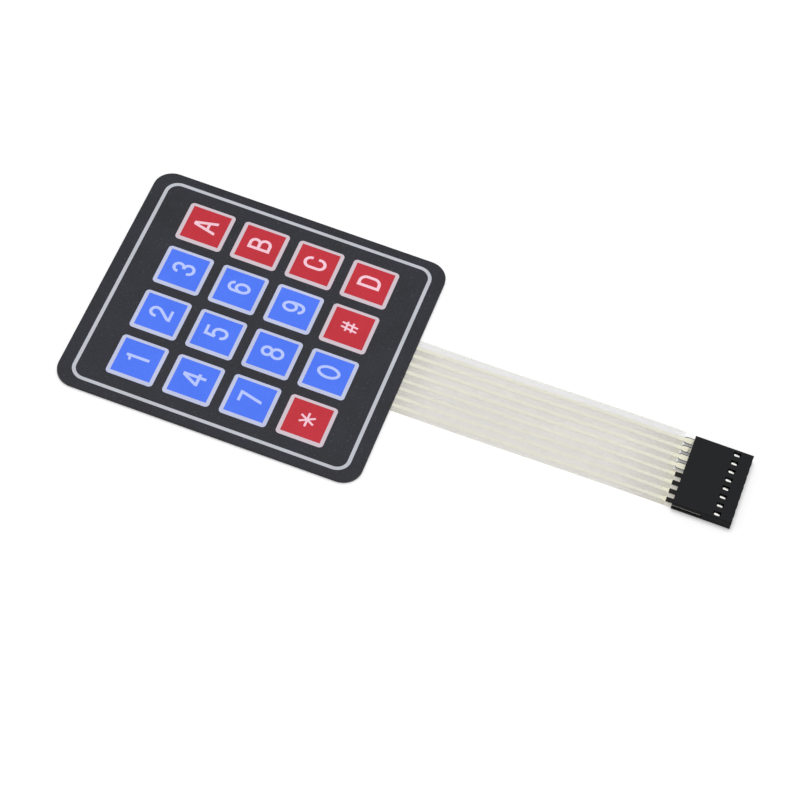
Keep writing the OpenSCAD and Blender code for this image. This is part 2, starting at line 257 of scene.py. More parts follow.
def feed(finish, socket, source):
    """Wires a source to one of the sockets of the finish's shader."""
    shader = finish.node_tree.nodes["Principled BSDF"]
    finish.node_tree.links.new(source, shader.inputs[socket])


def coat(finish, *names):
    """Gives the finish to CAD nodes."""
    for name in names:
        nodes[name].data.materials.clear()
        nodes[name].data.materials.append(finish)


print("wires ready")


# %% [markdown]
# ## Where a point lies
#
# Many finishes below change from place to place. A painted picture on a UV map could do that, but Object
# coordinates are simpler here. On these solids they are places on the keypad in metres, so a few
# comparisons of x, y and z name a place, a pattern has its real size, and nothing moves when a piece does.

# %% Places and arithmetic


def place(finish):
    """The point on the keypad, in metres."""
    return finish.node_tree.nodes.new("ShaderNodeTexCoord").outputs["Object"]


def coordinates(finish):
    """The x, y and z of that point, as three sockets."""
    return node(finish, "ShaderNodeSeparateXYZ", {"Vector": place(finish)}).node.outputs


def math_node(finish, operation, first, second=0.0):
    """One step of arithmetic."""
    return node(finish, "ShaderNodeMath", {0: first, 1: second}, operation=operation)


def vector_node(finish, operation, first, second=(0, 0, 0)):
    """One step of vector arithmetic."""
    return node(finish, "ShaderNodeVectorMath", {0: first, 1: second}, operation=operation)


def length_of(finish, arrow):
    """The length of a vector."""
    return vector_node(finish, "LENGTH", arrow).node.outputs["Value"]


def within(finish, value, middle, reach):
    """1 where the value is no further than this from the middle, and 0 elsewhere."""
    return node(finish, "ShaderNodeMath", {0: value, 1: middle, 2: reach}, operation="COMPARE")


def ramp(finish, value, start, stop, low=0.0, high=1.0, shape="LINEAR"):
    """A number that goes from low to high while the value goes from start to stop."""
    feeds = {"Value": value, "From Min": start, "From Max": stop, "To Min": low, "To Max": high}
    return node(finish, "ShaderNodeMapRange", feeds, interpolation_type=shape)


print("places ready")


# %% [markdown]
# ## Patterns
#
# No real surface has one even colour. A noise gives soft random spots of a chosen size, and these helpers
# turn them into a colour, a roughness or a bump. Most of such a noise lies near its middle, so the colours
# and roughnesses are spread over that part alone.

# %% Spots, colours and relief
SPOTS_LOW = 0.3
SPOTS_HIGH = 0.7


def grain(finish, size, detail=2.0, stretch=(1, 1, 1)):
    """Soft random spots about this big, from 0 to 1."""
    spots = node(finish, "ShaderNodeMapping", {"Vector": place(finish), "Scale": stretch})
    return node(finish, "ShaderNodeTexNoise", {"Vector": spots, "Scale": 1 / size, "Detail": detail})


def between(finish, factor, low, high, start=SPOTS_LOW, stop=SPOTS_HIGH):
    """A colour that goes from low to high as factor goes from start to stop."""
    colour = node(finish, "ShaderNodeValToRGB", {"Fac": factor})
    steps = colour.node.color_ramp.elements
    steps[0].position, steps[0].color = start, low
    steps[1].position, steps[1].color = stop, high
    return colour


def spread(finish, spots, low, high):
    """A number that goes from low to high over the middle part of the spots."""
    return ramp(finish, spots, SPOTS_LOW, SPOTS_HIGH, low, high)


def blend(finish, factor, first, second):
    """The first colour where factor is 0 and the second where it is 1. Each is a plain colour or a socket."""
    mix = node(finish, "ShaderNodeMix", {"Factor": factor}, data_type="RGBA").node
    first_socket, second_socket, result = mix.inputs[6], mix.inputs[7], mix.outputs[2]
    for colour, socket in ((first, first_socket), (second, second_socket)):
        if isinstance(colour, bpy.types.NodeSocket):
            finish.node_tree.links.new(colour, socket)
        else:
            socket.default_value = colour
    return result


def relief(finish, height, depth, rounding=0.0, flat=False):
    """A bump this deep, in metres. It starts from the shaded surface, from edges that catch the light as if
    rounded by this radius, or, where flat is set, from the faces themselves."""
    feeds = {"Height": height, "Distance": depth}
    if flat:
        feeds["Normal"] = node(finish, "ShaderNodeNewGeometry", {}).node.outputs["True Normal"]
    if rounding:
        feeds["Normal"] = node(finish, "ShaderNodeBevel", {"Radius": rounding})
    feed(finish, "Normal", node(finish, "ShaderNodeBump", feeds))


print("patterns ready")


# %% [markdown]
# ## The printed top film
#
# The overlay is one matt film with a fine grain in its face. All its colours are printed and share that
# grain, so one helper gives every print the same relief and the same slight unevenness, and each print
# only names its own two shades. A mirror-smooth print would look like glass here, and an even one like
# paint. Where a print needs more, such as dust, a change works on its colour before it reaches the shader.

# %% One finish for all prints
FILM_GRAIN = 0.16 * MM
FILM_GRAIN_DEPTH = 0.006 * MM
FILM_MOTTLE = 0.4 * MM
FILM_CLOUD = 9 * MM
SHADES_LOW = 0.38
SHADES_HIGH = 0.62
SMOOTHER = 0.04
ROUGHER = 0.05
PRINT_GLOSS = 0.2
MATT = 0.55
SATIN = 0.45


def uneven(finish, dark, light, roughness):
    """Gives the finish the grain of the film and returns a colour that wanders between two shades."""
    mottle = grain(finish, FILM_MOTTLE, detail=3)
    cloud = grain(finish, FILM_CLOUD, detail=4)
    average = math_node(finish, "MULTIPLY", math_node(finish, "ADD", mottle, cloud), 0.5)
    feed(finish, "Roughness", spread(finish, cloud, roughness - SMOOTHER, roughness + ROUGHER))
    relief(finish, grain(finish, FILM_GRAIN), FILM_GRAIN_DEPTH)
    return between(finish, average, dark, light, SHADES_LOW, SHADES_HIGH)


def printed(name, dark, light, roughness, change=None):
    """A print between two shades. A change takes the finish and its colour and returns another colour."""
    finish = new_finish(name, Specular_IOR_Level=PRINT_GLOSS)
    colour = uneven(finish, dark, light, roughness)
    feed(finish, "Base Color", change(finish, colour) if change else colour)
    return finish


print("prints have a grain of", FILM_GRAIN / MM, "mm")


# %% [markdown]
# ## Dust on the black
#
# The black face shows fine pale specks of dust. Small pieces strewn over it would be heavy, and a Voronoi
# pattern does it in the material: each of its cells holds one point, and close to that point the colour
# turns paler. A speck in every cell would look like a grid, so the random colour of the cell decides how
# strong its speck is, and about half of the cells get none.

# %% Coat the overlay
DUST_SPACING = 1.9 * MM
DUST_SIZE = 0.16 * MM
DUST_SHARE = 0.35
DUST_STARTS = 0.5
DUST_FULL = 0.85
DUST_GREY = seen(150, 151, 155)


def dusty(finish, colour):
    """Scatters pale specks over a colour."""
    cells = {"Vector": place(finish), "Scale": 1 / DUST_SPACING}
    from_speck = node(finish, "ShaderNodeTexVoronoi", cells, voronoi_dimensions="2D")
    random_colour = from_speck.node.outputs["Color"]
    paleness = ramp(finish, random_colour, DUST_STARTS, DUST_FULL, 0.0, DUST_SHARE)
    speck = ramp(finish, from_speck, 0.0, DUST_SIZE / DUST_SPACING, paleness, 0.0)
    return blend(finish, speck, colour, DUST_GREY)


coat(printed("overlay_black", seen(16, 17, 25), seen(38, 39, 48), MATT, dusty), "graphic_overlay")
print("overlay coated, dust in cells of", DUST_SPACING / MM, "mm")


# %% [markdown]
# ## The silver lines of the print
#
# Thin silver lines take a tint from the strong colour beside them. The frames of the blue keys look cooler
# and those of the red keys warmer, and the border on plain black stays neutral. The sixteen frames are one
# piece with one finish, so the tint follows the place: red are the whole right column and the bottom row
# without its second key, which a few comparisons of x and y can say.

# %% Coat the border and the frames
HALF_PITCH_X = 7.25 * MM
PITCH_Y = 14.4 * MM
WARM_SILVER = seen(206, 191, 200)


def on_red_key(finish):
    """1 in the cells of the red keys, 0 in those of the blue ones."""
    x, y, _ = coordinates(finish)
    right_column = math_node(finish, "GREATER_THAN", x, 2 * HALF_PITCH_X)
    bottom_row = math_node(finish, "LESS_THAN", y, -PITCH_Y)
    second_column = within(finish, x, -HALF_PITCH_X, HALF_PITCH_X)
    rest_of_row = math_node(finish, "SUBTRACT", bottom_row, second_column)
    return math_node(finish, "MAXIMUM", right_column, rest_of_row)


def warm_on_red(finish, colour):
    """Turns a colour to the warm silver round the red keys."""
    return blend(finish, on_red_key(finish), colour, WARM_SILVER)


coat(printed("silver_ink", seen(182, 184, 192), seen(194, 196, 205), SATIN), "border_line")
coat(printed("frame_ink", seen(182, 188, 217), seen(194, 200, 229), SATIN, warm_on_red), "key_frames")
print("border and frames coated")


# %% [markdown]
# ## The colours of the keys
#
# The keys are flat fields of print, ten blue and six red, and each is a node of its own. Keys of one
# colour share one material, and because its spots follow the place, no two keys look quite the same.

# %% Coat the keys
BLUE_KEYS = ["key_" + legend for legend in "1234567890"]
RED_KEYS = ["key_a", "key_b", "key_c", "key_d", "key_star", "key_hash"]
coat(printed("key_blue", seen(66, 112, 238), seen(78, 120, 246), MATT), *BLUE_KEYS)
coat(printed("key_red", seen(181, 30, 46), seen(193, 42, 56), MATT), *RED_KEYS)
print("printed keys:", len(BLUE_KEYS), "blue,", len(RED_KEYS), "red")


# %% [markdown]
# ## The shaded edge of the pad
#
# Seen from the side, the stack of films looks black all round the pad, where its thin wall lies in shade.
# That black is painted shade. A black skin round it would be an invented piece, so the films and the glue
# take the dark colour themselves, close to the outline. A distance finds that edge: fold the pad into one
# quarter, measure from the centre of its rounded corner, and keep what lies at the corner's radius.

# %% Find the cut edge
PAD_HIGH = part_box("graphic_overlay")[1]
PAD_CORNER = 5 * MM
EDGE_DEPTH = 0.04 * MM
# Painted shade: the dark colour of the pad's cut edge.
EDGE_SHADE = seen(24, 25, 28)


def on_cut_edge(finish):
    """1 on the wall round the pad, where the shade is painted, 0 further in and in the tail."""
    flat = vector_node(finish, "MULTIPLY", place(finish), (1, 1, 0))
    quarter = vector_node(finish, "ABSOLUTE", flat)
    corner = (PAD_HIGH.x - PAD_CORNER, PAD_HIGH.y - PAD_CORNER, 0)
    past_corner = vector_node(finish, "MAXIMUM", vector_node(finish, "SUBTRACT", quarter, corner))
    return within(finish, length_of(finish, past_corner), PAD_CORNER, EDGE_DEPTH)


print("the pad's edge is black to a depth of", EDGE_DEPTH / MM, "mm")


# %% [markdown]
# ## Milky films
#
# The circuit films are milky plastic. Such a film scatters the light on its way through and hardly stops
# any, so what lies under it is as bright as on the open table, only paler. Glass with a rough face would
# take long to render. Alpha with a plain colour does it quickly, if it holds for the eye alone: every film
# is there for what is seen directly, and out of the way of the light itself. Two films and a spacer are
# six surfaces, a line between them adds two, and Cycles looks through eight unless it is told to go on.
#
# The films touch each other and the lines between them, and where two faces share one plane a ray may meet
# either first. So the milk sits only on the two faces that touch nothing, the top of the upper film and
# the underside of the lower one. The normal of a face says which it is, once it is turned back for faces
# that are seen from behind.

# %% Helpers for the films
CLEAR_SURFACES = 32
HAZE_SIZE = 6 * MM
HAZE_DEPTH = 0.02 * MM
ALONG_TAIL = (1, 0.25, 1)
HAZE_DARKER = 4
HAZE_LIGHTER = 3
bpy.context.scene.cycles.transparent_max_bounces = CLEAR_SURFACES


def for_the_eye(finish, opacity):
    """Gives the finish an alpha for what is seen directly, and leaves it out of the way of the light."""
    feed(finish, "Alpha", math_node(finish, "MULTIPLY", seen_directly(finish.node_tree), opacity))


def faces_up(finish):
    """1 on faces that look up on the keypad and 0 on those that look down, from whichever side it is seen."""
    geometry = node(finish, "ShaderNodeNewGeometry", {}).node
    normal = node(finish, "ShaderNodeSeparateXYZ", {"Vector": geometry.outputs["True Normal"]}).node
    seen_up = math_node(finish, "GREATER_THAN", normal.outputs["Z"], 0.0)
    turned = math_node(finish, "SUBTRACT", seen_up, geometry.outputs["Backfacing"])
    return math_node(finish, "ABSOLUTE", turned)


def hazy(finish, milk):
    """Gives the film its faint waves and returns a colour that wanders round this one."""
    haze = grain(finish, HAZE_SIZE, detail=3, stretch=ALONG_TAIL)
    relief(finish, haze, HAZE_DEPTH, flat=True)
    darker = seen(*[c - HAZE_DARKER for c in milk])
    lighter = seen(*[c + HAZE_LIGHTER for c in milk])
    return between(finish, haze, darker, lighter)


def film(name, colour, veil, top):
    """Finishes a film whose top or underside carries a veil. Colour and veil are made for the finish."""
    finish = new_finish(name, Roughness=0.45, Specular_IOR_Level=0.2)
    edge = on_cut_edge(finish)
    # The cut edge takes the painted shade.
    feed(finish, "Base Color", blend(finish, edge, colour(finish), EDGE_SHADE))
    up = faces_up(finish)
    side = up if top else math_node(finish, "SUBTRACT", 1.0, up)
    milk = math_node(finish, "MULTIPLY", side, veil(finish))
    for_the_eye(finish, math_node(finish, "MAXIMUM", edge, milk))
    return finish


print("Cycles looks through", CLEAR_SURFACES, "clear surfaces")


# %% [markdown]
# ## The upper film and the spacer
#
# The upper film veils what is under it by about a third. Over the contact pads at its end it looks
# clearer, so the veil thins out there along y. A second material for that end would leave a hard step. The
# spacer touches a film on both sides, so it is nearly clear, and the lower film carries its tone.

# %% Coat the upper film and the spacer
MILK = (205, 204, 206)
SPACER_MILK = (210, 206, 193)
FILM_VEIL = 0.36
PADS_VEIL = 0.1
CLEAR_VEIL = 0.03
PADS_START = -104.5 * MM
PADS_FULL = -106.2 * MM


def upper_veil(finish):
    """The veil of the upper film, which thins out over the contact pads."""
    _, y, _ = coordinates(finish)
    return ramp(finish, y, PADS_START, PADS_FULL, FILM_VEIL, PADS_VEIL, "SMOOTHSTEP")


upper_film = film("upper_film_milky", lambda finish: hazy(finish, MILK), upper_veil, True)
spacer_film = film("spacer_clear", lambda finish: hazy(finish, SPACER_MILK), lambda finish: CLEAR_VEIL, True)
coat(upper_film, "upper_circuit_film")
coat(spacer_film, "spacer")
print("upper film veils", FILM_VEIL, "and the spacer", CLEAR_VEIL)


# %% [markdown]
# ## Strips along the lines
#
# The silver lines share their faces with the films as well, so a ray can miss a line and go on. A strip of
# the same silver on the underside of the lower film, right under each line, then takes its place. The
# picture also shows a fine darker strip along one side of each line. Both kinds repeat with the pitch of
# the lines: a ping-pong of x gives the distance from the nearest line, and a modulo the distance from the
# next line on the left.
# That darker strip is painted shade: each line stands up as a small ridge in the film and shades one side.

# %% Find the strips
PAD_EDGE = -PAD_HIGH.y
LINE_PITCH = 2.54 * MM
LINE_WIDTH = 0.9 * MM
LINES_START = -34 * MM
LINES_STOP = -107.2 * MM
SPACER_EDGE = 9.5 * MM
SHADE_PLACE = 2.1 * MM
SHADE_WIDTH = 0.3 * MM


def under_a_line(finish):
    """1 in a strip under each of the eight lines, which stand half a pitch to the sides of the middle."""
    x, y, _ = coordinates(finish)
    from_first = math_node(finish, "ADD", x, LINE_PITCH / 2)
    from_nearest = math_node(finish, "PINGPONG", from_first, LINE_PITCH / 2)
    strip = math_node(finish, "LESS_THAN", from_nearest, LINE_WIDTH / 2)
    started = math_node(finish, "LESS_THAN", y, LINES_START)
    not_over = math_node(finish, "GREATER_THAN", y, LINES_STOP)
    return math_node(finish, "MULTIPLY", strip, math_node(finish, "MULTIPLY", started, not_over))


def shade_beside_a_line(finish):
    """1 in a fine strip of painted shade along one side of each line, in the part of the tail that has the
    spacer.
    """
    x, y, _ = coordinates(finish)
    from_first = math_node(finish, "ADD", x, LINE_PITCH / 2)
    from_line = math_node(finish, "FLOORED_MODULO", from_first, LINE_PITCH)
    from_strip = math_node(finish, "ABSOLUTE", math_node(finish, "SUBTRACT", from_line, SHADE_PLACE))
    strip = math_node(finish, "LESS_THAN", from_strip, SHADE_WIDTH / 2)
    under_spacer = math_node(finish, "LESS_THAN", x, SPACER_EDGE)
    in_tail = math_node(finish, "LESS_THAN", y, PAD_EDGE)
    return math_node(finish, "MULTIPLY", strip, math_node(finish, "MULTIPLY", under_spacer, in_tail))


print("strips repeat every", LINE_PITCH / MM, "mm")


# %% [markdown]
# ## The lower film
# The fine darker strips beside the lines and the darker tone near both ends of the tail are painted shade.
#
# The underside of the lower film gathers what the layers above it can't show on their shared faces: the
# tone of the spacer, the strips along the lines, and a darker tone near both ends of the tail, where the
# picture shows the film in the soft shade of the pad and of the receptacle. In the notch of the liner it
# is backed by the pad and looks white. Each of these is a mask of place that blends two colours or two
# veils.

# %% Coat the lower film
SHADED_MILK = (185, 181, 161)
NOTCH_MILK = (222, 222, 224)
PASTE = (231, 229, 204)
SPACER_VEIL = 0.75
SHADED_VEIL = 0.85
NOTCH_VEIL = 0.97
SHADED_ENDS = ((-47 * MM, -39 * MM), (-90 * MM, -106 * MM))
SHADE_SHARE = 0.2
BLACK = seen(0, 0, 0)


def tail_zones(finish):
    """Three masks along the tail: under the spacer, near one of the ends, and in the notch of the liner."""
    x, y, _ = coordinates(finish)
    ends = [ramp(finish, y, start, stop, shape="SMOOTHSTEP") for start, stop in SHADED_ENDS]
    under_spacer = math_node(finish, "LESS_THAN", x, SPACER_EDGE)
    not_over = math_node(finish, "GREATER_THAN", y, LINES_STOP)
    shade = math_node(finish, "MULTIPLY", math_node(finish, "ADD", *ends), not_over)
    in_notch = math_node(finish, "GREATER_THAN", y, PAD_EDGE)
    return under_spacer, shade, in_notch


def lower_colour(finish):
    """The colour of the lower film with the strips along the lines."""
    under_spacer, shade, in_notch = tail_zones(finish)
    spacer_tone = blend(finish, shade, hazy(finish, SPACER_MILK), seen(*SHADED_MILK))
    tail_tone = blend(finish, under_spacer, seen(*MILK), spacer_tone)
    film_tone = blend(finish, in_notch, tail_tone, seen(*NOTCH_MILK))
    lined = blend(finish, under_a_line(finish), film_tone, seen(*PASTE))
    # Painted shade: the fine strip beside each line is darkened a little towards black.
    darker = math_node(finish, "MULTIPLY", shade_beside_a_line(finish), SHADE_SHARE)
    return blend(finish, darker, lined, BLACK)


def lower_veil(finish):
    """The veil of the lower film, which is full under the lines."""
    under_spacer, shade, in_notch = tail_zones(finish)
    spacer_veil = ramp(finish, shade, 0.0, 1.0, SPACER_VEIL, SHADED_VEIL)
    tail_veil = ramp(finish, under_spacer, 0.0, 1.0, FILM_VEIL, spacer_veil)
    notch_veil = math_node(finish, "MULTIPLY", in_notch, NOTCH_VEIL)
    film_veil = math_node(finish, "MAXIMUM", tail_veil, notch_veil)
    return math_node(finish, "MAXIMUM", film_veil, under_a_line(finish))


coat(film("lower_film_milky", lower_colour, lower_veil, False), "lower_circuit_film")
print("lower film veils", SPACER_VEIL, "under the spacer and", FILM_VEIL, "beside it")


# %% [markdown]
# ## Glue and liner
#
# The liner is thin white paper with a smooth face, faintly cloudy and with a few fibres. Of the rear glue
# only a thin rim shows, dark in the shade of the pad's wall, so the glue is painted dark all over: painted
# shade. The glue under the overlay is white, with the same painted shade at its edge as the films. All three
# are plain sheets, so noise at two sizes, one for the colour and a finer one for the sheen, is enough.

# %% Coat the liner and the glue
PAPER_CLOUD = 7 * MM
PAPER_FIBRE = 0.35 * MM
PAPER_FIBRE_DEPTH = 0.01 * MM
ALONG_PAPER = (1, 0.3, 1)
liner_paper = new_finish("liner_paper", Specular_IOR_Level=0.35)
cloud = grain(liner_paper, PAPER_CLOUD, detail=5)
fibre = grain(liner_paper, PAPER_FIBRE, detail=3, stretch=ALONG_PAPER)
feed(liner_paper, "Base Color", between(liner_paper, cloud, seen(231, 228, 236), seen(240, 238, 244)))
feed(liner_paper, "Roughness", spread(liner_paper, fibre, 0.42, 0.58))
relief(liner_paper, fibre, PAPER_FIBRE_DEPTH)
coat(liner_paper, "release_liner")

REAR_CLOUD = 2 * MM
REAR_GRAIN = 0.5 * MM
glue_clear = new_finish("glue_clear", Specular_IOR_Level=0.3)
# Painted shade: the clear rear glue is coloured dark all over, as its rim looks in shade.
rim = between(glue_clear, grain(glue_clear, REAR_CLOUD), seen(24, 25, 28), seen(34, 35, 38))
feed(glue_clear, "Base Color", rim)
feed(glue_clear, "Roughness", spread(glue_clear, grain(glue_clear, REAR_GRAIN), 0.4, 0.6))
coat(glue_clear, "rear_adhesive")

CHALK_CLOUD = 3 * MM
CHALK_GRAIN = 0.6 * MM
glue_white = new_finish("glue_white", Specular_IOR_Level=0.3)
chalk = between(glue_white, grain(glue_white, CHALK_CLOUD), seen(226, 223, 232), seen(236, 234, 241))
# Its cut edge takes the same painted shade as the films.
feed(glue_white, "Base Color", blend(glue_white, on_cut_edge(glue_white), chalk, EDGE_SHADE))
feed(glue_white, "Roughness", spread(glue_white, grain(glue_white, CHALK_GRAIN), 0.45, 0.6))
coat(glue_white, "overlay_adhesive")
print("liner and glue coated")


# %% [markdown]
# ## Silver lines and carbon
#
# The conductors are silver paste, printed and dried. It looks pale cream with a soft sheen, so a metallic
# shader would be too bright. Lines this thin throw no shadow that shows, so they too are there for the eye
# alone. Black carbon paste covers their ends and is duller still.

# %% Coat the circuits
PASTE_GRAIN = 0.25 * MM
PASTE_DEPTH = 0.006 * MM
SOOT_GRAIN = 0.2 * MM
silver_paste = new_finish("silver_paste", Specular_IOR_Level=0.4)
paste = grain(silver_paste, PASTE_GRAIN, detail=3)
feed(silver_paste, "Base Color", between(silver_paste, paste, seen(227, 225, 199), seen(235, 233, 209)))
feed(silver_paste, "Roughness", spread(silver_paste, paste, 0.4, 0.6))
relief(silver_paste, paste, PASTE_DEPTH, flat=True)
for_the_eye(silver_paste, 1.0)
tracks = [f"{kind}_track_{k}" for kind in ("row", "column") for k in range(1, 5)]
coat(silver_paste, *tracks)

carbon_paste = new_finish("carbon_paste", Specular_IOR_Level=0.12)
soot = grain(carbon_paste, SOOT_GRAIN, detail=3)
feed(carbon_paste, "Base Color", between(carbon_paste, soot, seen(20, 20, 20), seen(36, 36, 35)))
feed(carbon_paste, "Roughness", spread(carbon_paste, soot, 0.55, 0.75))
relief(carbon_paste, soot, PASTE_DEPTH)
coat(carbon_paste, "row_carbon", "column_carbon")
print("circuits coated:", len(tracks), "tracks")


# %% [markdown]
# ## The receptacle's housing
#
# The housing is moulded in black plastic, with a satin face and faint flow lines. Hardly any light comes
# back from the walls of its small windows, so what lies below the face there is darker than the face.
# Three comparisons of place find those walls. The edges of a moulding are never quite sharp, and a Bevel
# node rounds them for the light without a change to the solid.

# %% Coat the housing
HOUSING_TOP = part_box("connector_housing")[1].z
HOUSING_ROUNDING = 0.1 * MM
WINDOW_Y = -119.6 * MM
WINDOW_REACH_Y = 1.0 * MM
WINDOW_REACH_X = 9.9 * MM
WINDOW_DEPTH = 0.02 * MM
FLOW_SIZE = 0.5 * MM
ALONG_MOULD = (1, 0.35, 1)
MOULD_GRAIN = 0.12 * MM
MOULD_DEPTH = 0.006 * MM

housing_black = new_finish("housing_black", Specular_IOR_Level=0.1)
flow = grain(housing_black, FLOW_SIZE, detail=5, stretch=ALONG_MOULD)
satin = between(housing_black, flow, seen(9, 10, 12), seen(20, 21, 24))
x, y, z = coordinates(housing_black)
along = within(housing_black, y, WINDOW_Y, WINDOW_REACH_Y)
across = within(housing_black, x, 0.0, WINDOW_REACH_X)
below = math_node(housing_black, "LESS_THAN", z, HOUSING_TOP - WINDOW_DEPTH)
inside = math_node(housing_black, "MULTIPLY", math_node(housing_black, "MULTIPLY", along, across), below)
feed(housing_black, "Base Color", blend(housing_black, inside, satin, seen(4, 4, 5)))
feed(housing_black, "Roughness", spread(housing_black, flow, 0.42, 0.58))
relief(housing_black, grain(housing_black, MOULD_GRAIN), MOULD_DEPTH, HOUSING_ROUNDING)
coat(housing_black, "connector_housing")
print("housing coated, its top is at", round(HOUSING_TOP / MM, 2), "mm")


# %% [markdown]
# ## The sockets
#
# The sockets are stamped from tinned strip and shine in the windows. Of the tongue in a window only the
# crest faces the light and its flanks look dark, so the bright part is an oval. Reflections alone would
# draw it anew for every lamp, so it is drawn by place, and a ping-pong of x repeats it for all eight ways.

# %% Coat the sockets
CREST_X = 0.4 * MM
CREST_Y = 0.68 * MM
ROLLED_SIZE = 0.25 * MM
ALONG_STRIP = (1, 0.1, 1)

tinned_strip = new_finish("tinned_strip", Metallic=1.0)
rolled = grain(tinned_strip, ROLLED_SIZE, detail=3, stretch=ALONG_STRIP)
tin = between(tinned_strip, rolled, seen(222, 220, 216), seen(240, 239, 236))
x, y, _ = coordinates(tinned_strip)
from_first = math_node(tinned_strip, "ADD", x, LINE_PITCH / 2)
beside = math_node(tinned_strip, "PINGPONG", from_first, LINE_PITCH / 2)
ahead = math_node(tinned_strip, "SUBTRACT", y, WINDOW_Y)
oval = {
    "X": math_node(tinned_strip, "DIVIDE", beside, CREST_X),
    "Y": math_node(tinned_strip, "DIVIDE", ahead, CREST_Y),
}
from_crest = length_of(tinned_strip, node(tinned_strip, "ShaderNodeCombineXYZ", oval))
off_crest = math_node(tinned_strip, "GREATER_THAN", from_crest, 1.0)
near_window = within(tinned_strip, y, WINDOW_Y, WINDOW_REACH_Y)
flank = math_node(tinned_strip, "MULTIPLY", off_crest, near_window)
feed(tinned_strip, "Base Color", blend(tinned_strip, flank, tin, seen(30, 30, 32)))
feed(tinned_strip, "Roughness", spread(tinned_strip, rolled, 0.18, 0.32))
sockets = [f"terminal_{k}" for k in range(1, 9)]
coat(tinned_strip, *sockets)
print("sockets coated:", len(sockets))


# %% [markdown]
# ## A pen for the legends
#
# The legends are narrow plain figures with one line width. A text object is the quick way, but the font
# inside Blender is wider and has other shapes. So the figures are drawn as a sign painter does it, with
# a flat pen: a thin plane is the nib, an extrude draws a straight run and a spin draws a bend. Both work
# on what is selected, which here is the edge at the front of the nib.

# %% The nib
FACE_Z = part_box("key_1")[1].z
NIB = 0.02 * MM
SAME_PLACE = 0.0005 * MM


def heading_vector(heading):
    """The direction of a heading, as a vector of length 1."""
    return Vector((math.cos(heading), math.sin(heading), 0))


def pick_front(strip, point, heading):
    """Selects the one edge of a flat strip that lies across the heading at this point."""
    mesh = strip.data
    ahead = heading_vector(heading)
    for part in (mesh.vertices, mesh.edges, mesh.polygons):
        part.foreach_set("select", [False] * len(part))
    for edge in mesh.edges:
        edge.select = all(abs((mesh.vertices[i].co - point).dot(ahead)) < SAME_PLACE for i in edge.vertices)
    bpy.ops.object.mode_set(mode="EDIT")
    bpy.ops.mesh.select_mode(type="EDGE")


print("keys have their face at", round(FACE_Z / MM, 3), "mm")


# %% [markdown]
# ## The ink
#
# Screen printing leaves a thin layer of ink that stands a little proud of the film. A stroke is drawn as a
# flat sheet, and Solidify gives it that thickness. It starts a hair below the face of the key, so that
# sheet and face never share a plane. The sheet has to face up first, because the thickness grows along
# its normal.

# %% Give a sheet its ink
INK_ABOVE = 0.012 * MM
INK_BELOW = 0.004 * MM


def give_ink(sheet):
    """Turns a flat sheet face up and thickens it to a layer of ink."""
    bpy.ops.object.mode_set(mode="EDIT")
    bpy.ops.mesh.select_all(action="SELECT")
    bpy.ops.mesh.remove_doubles(threshold=SAME_PLACE)
    bpy.ops.mesh.normals_make_consistent(inside=False)
    bpy.ops.object.mode_set(mode="OBJECT")
    if sheet.data.polygons[0].normal.z < 0:
        bpy.ops.object.mode_set(mode="EDIT")
        bpy.ops.mesh.flip_normals()
        bpy.ops.object.mode_set(mode="OBJECT")
    bpy.ops.object.modifier_add(type="SOLIDIFY")
    ink = sheet.modifiers[-1]
    ink.thickness = INK_ABOVE + INK_BELOW
    ink.offset = 1.0
    bpy.ops.object.modifier_apply(modifier=ink.name)
    return sheet


print("ink stands", INK_ABOVE / MM, "mm proud")


# %% [markdown]
# ## Strokes
#
# A stroke is a start, a direction and a row of moves. A slanted stroke ends square to its own run, so it
# is drawn too long and a bisect trims it level with the top and bottom line of the figure. In the
# background a spin turns clockwise for a positive angle, so a bend to the left has a negative one.

# %% Draw a stroke
BEND_STEP = math.radians(7.5)
REACH = 3.0


def trim(middle, reach):
    """Cuts the sheet in edit mode off this far above and below the middle of its figure."""
    for side in (1, -1):
        level = middle + Vector((0, side * reach * MM, 0))
        bpy.ops.mesh.select_all(action="SELECT")
        bpy.ops.mesh.bisect(plane_co=level, plane_no=(0, side, 0), clear_outer=True)


def stroke(middle, width, start, direction, *moves, reach=REACH):
    """One pen stroke. A number is a straight run, and a pair is a bend of that radius and angle, left if
    positive. Lengths are in millimetres and angles in degrees."""
    heading = math.radians(direction)
    point = middle + Vector((*start, 0)) * MM
    bpy.ops.object.select_all(action="DESELECT")
    bpy.ops.mesh.primitive_plane_add(size=1, location=point - heading_vector(heading) * NIB / 2)
    strip = bpy.context.object
    strip.scale = (NIB, width * MM, 1)
    strip.rotation_euler = (0, 0, heading)
    bpy.ops.object.transform_apply(location=True, rotation=True, scale=True)
    pick_front(strip, point, heading)
    for move in moves:
        if isinstance(move, tuple):
            radius, angle = move[0] * MM, math.radians(move[1])
            inward = heading + math.copysign(math.pi / 2, angle)
            centre = point + heading_vector(inward) * radius
            steps = max(2, round(abs(angle) / BEND_STEP))
            bpy.ops.mesh.spin(steps=steps, angle=-angle, center=centre, axis=(0, 0, 1))
            heading += angle
            point = centre - heading_vector(inward + angle) * radius
        else:
            ahead = heading_vector(heading) * move * MM
            bpy.ops.mesh.extrude_region_move(TRANSFORM_OT_translate={"value": ahead})
            point = point + ahead
    trim(middle, reach)
    bpy.ops.object.mode_set(mode="OBJECT")
    return give_ink(strip)


print("a bend has a step every", round(math.degrees(BEND_STEP), 1), "degrees")


# %% [markdown]
# ## Rings and joins
#
# A closed loop could be a long bend, but its ends would have to meet exactly. It starts as a disc instead,
# whose inset leaves a ring of the pen's width. The strokes of a figure cross each other and their faces
# would share one plane, so a boolean joins them into a single skin.

# %% Draw a ring and join strokes
RING_POINTS = 64


